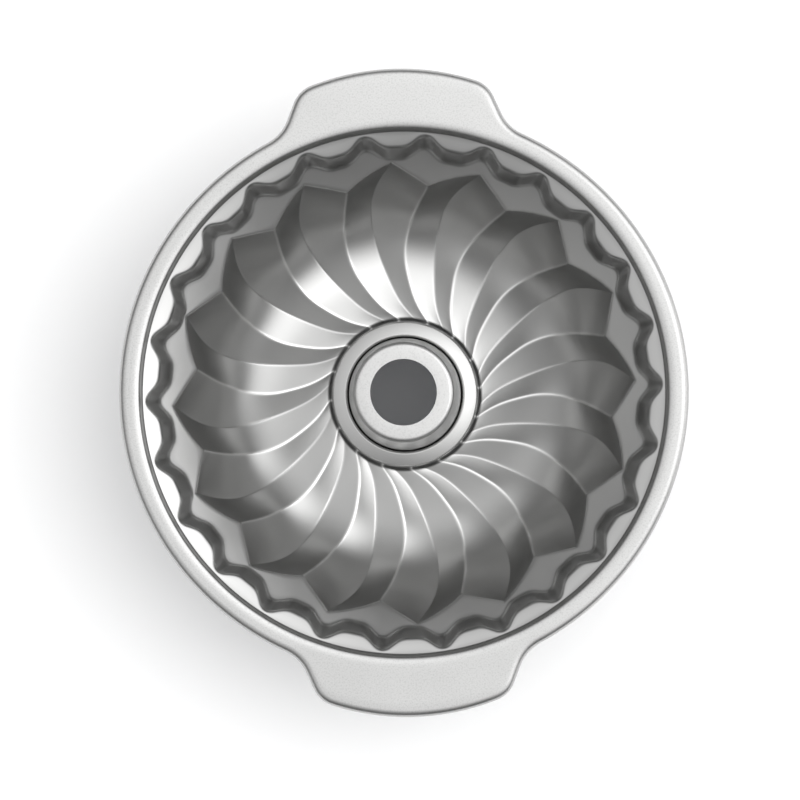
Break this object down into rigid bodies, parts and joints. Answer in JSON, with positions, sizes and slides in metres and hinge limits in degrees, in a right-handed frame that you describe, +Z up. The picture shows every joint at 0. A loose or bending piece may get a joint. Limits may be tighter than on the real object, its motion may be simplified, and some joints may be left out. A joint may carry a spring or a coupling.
{
  "type": "fluted tube pan",
  "caption": "Fluted tube cake pan of drawn steel: swirled flutes, scalloped wall, flat curled rim with integral handles, and an open tapered centre tube held by a lock ring",
  "frame": {"origin": "On the axis of the centre tube, at the level of the surface the pan stands on, which is the middle of the bottom of its box", "axes": "+Z up along the tube, mouth upward; +Y and -Y point out along the handles; +X across them"},
  "size_m": [0.256, 0.2916, 0.104],
  "materials": {
    "shell_steel": "satin aluminised steel",
    "tube_steel": "satin aluminised steel",
    "ring_steel": "satin, smoother than the bowl",
    "wire_steel": "plain drawn wire"
  },
  "bodies": {
    "root": {"fluted_shell": "shell_steel", "centre_tube": "tube_steel", "lock_ring": "ring_steel", "rim_wire": "wire_steel"}
  },
  "joints": []
}
